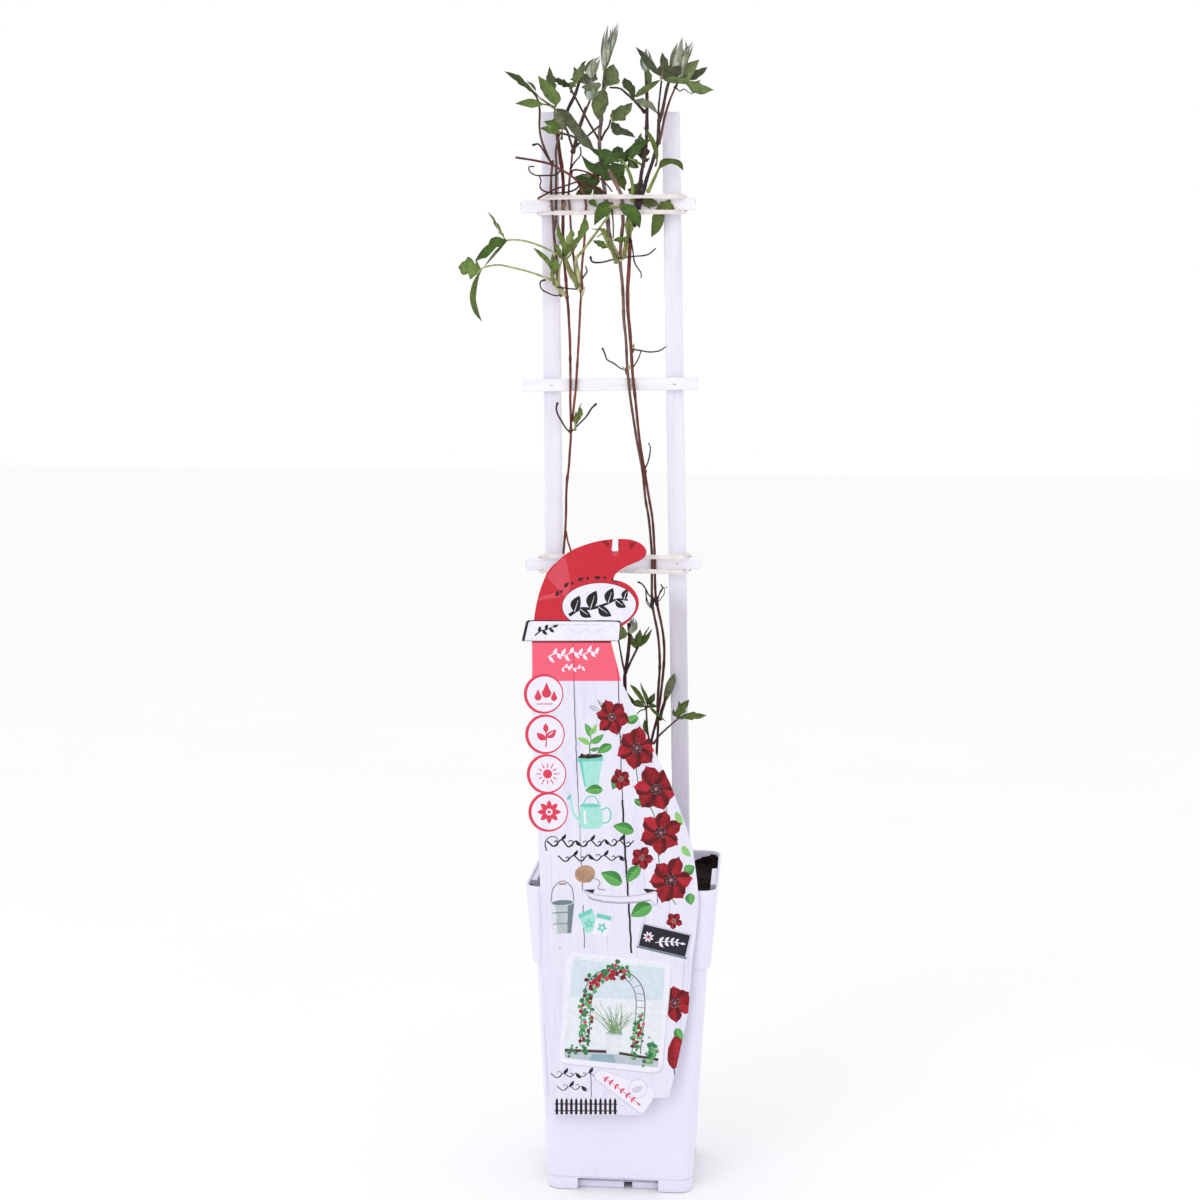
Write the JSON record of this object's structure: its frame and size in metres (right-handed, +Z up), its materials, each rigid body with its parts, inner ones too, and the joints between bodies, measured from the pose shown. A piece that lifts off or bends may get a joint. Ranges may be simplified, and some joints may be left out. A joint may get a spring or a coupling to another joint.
{
  "type": "clematis plant on a trellis",
  "caption": "Young clematis climbing a narrow white wooden ladder trellis in a tall square white nursery pot, with a tall printed label hooked over the rim and clipped to the trellis.",
  "frame": {"origin": "centre of the pot's foot, on the ground the pot stands on", "axes": "+Z up along the trellis, +X to the right when the printed label faces the viewer, +Y to the back, away from the label"},
  "size_m": [0.1891, 0.1318, 0.7953],
  "materials": {
    "trellis_wood": "painted white, satin, with a little grain showing",
    "staple_wire": "thin bright wire",
    "band_rubber": "cream, matt",
    "label_print": "printed both in red, pale planks and flowers, semi-gloss",
    "clip_plastic": "white, satin",
    "pot_plastic": "white, smooth, semi-gloss",
    "stem_bark": "thin reddish-brown to purple-brown vine stems",
    "leaf_green": "fresh green leaves, satin",
    "leaf_dark_green": "shaded or older dark green leaves",
    "leaf_light_green": "young light green leaves",
    "leaf_grey_green": "folded leaves seen from their greyish undersides",
    "bud_silver": "silvery, finely hairy young buds",
    "soil": "dark fibrous potting soil, rough"
  },
  "bodies": {
    "root": {"trellis_leg_left": "trellis_wood", "trellis_leg_right": "trellis_wood", "rung_top": "trellis_wood", "rung_middle": "trellis_wood", "rung_lower": "trellis_wood", "staple_top_left": "staple_wire", "staple_top_right": "staple_wire", "staple_middle_left": "staple_wire", "staple_middle_right": "staple_wire", "staple_lower_left": "staple_wire", "staple_lower_right": "staple_wire", "rubber_band_top": "band_rubber", "rubber_band_lower": "band_rubber", "label_card": "label_print", "label_clip": "clip_plastic", "pot": "pot_plastic", "stem_left_main": "stem_bark", "stem_left_outer": "stem_bark", "stem_left_inner": "stem_bark", "stem_left_crossing": "stem_bark", "stem_dark_top": "stem_bark", "stem_right_main": "stem_bark", "stem_right_second": "stem_bark", "stem_centre": "stem_bark", "stem_right_tall": "stem_bark", "stem_right_outer": "stem_bark", "shoot_lower": "leaf_light_green", "leaf_upper_left": "leaf_green", "leaf_upper_arch": "leaf_dark_green", "leaf_top_left": "leaf_green", "bud_upper_left": "bud_silver", "leaf_folded_long": "leaf_grey_green", "leaf_left_low": "leaf_green", "bud_top_centre": "bud_silver", "leaf_centre_hanging": "leaf_green", "leaf_centre_pair": "leaf_green", "leaf_right_of_centre": "leaf_green", "bud_right_upper": "bud_silver", "leaf_right_top": "leaf_green", "bud_right_top": "bud_silver", "leaf_big_left": "leaf_green", "leaf_big_right": "leaf_green", "leaf_right_dark": "leaf_dark_green", "leaf_right_narrow": "leaf_green", "leaf_right_folded": "leaf_green", "leaf_mid_right": "leaf_grey_green", "leaf_mid_pair": "leaf_green", "leaf_mid_left": "leaf_green", "leaf_under_right": "leaf_green", "leaf_hanging_far_left": "leaf_light_green", "leaf_hanging_left": "leaf_green", "leaf_left_small": "leaf_green", "leaf_inner_left": "leaf_green", "leaf_inner_centre": "leaf_green", "bud_inner_right": "leaf_light_green", "shoot_small_left": "leaf_green", "leaf_low_left": "leaf_green", "leaf_low_right_a": "leaf_green", "leaf_low_right_b": "leaf_green", "soil": "soil"}
  },
  "joints": []
}
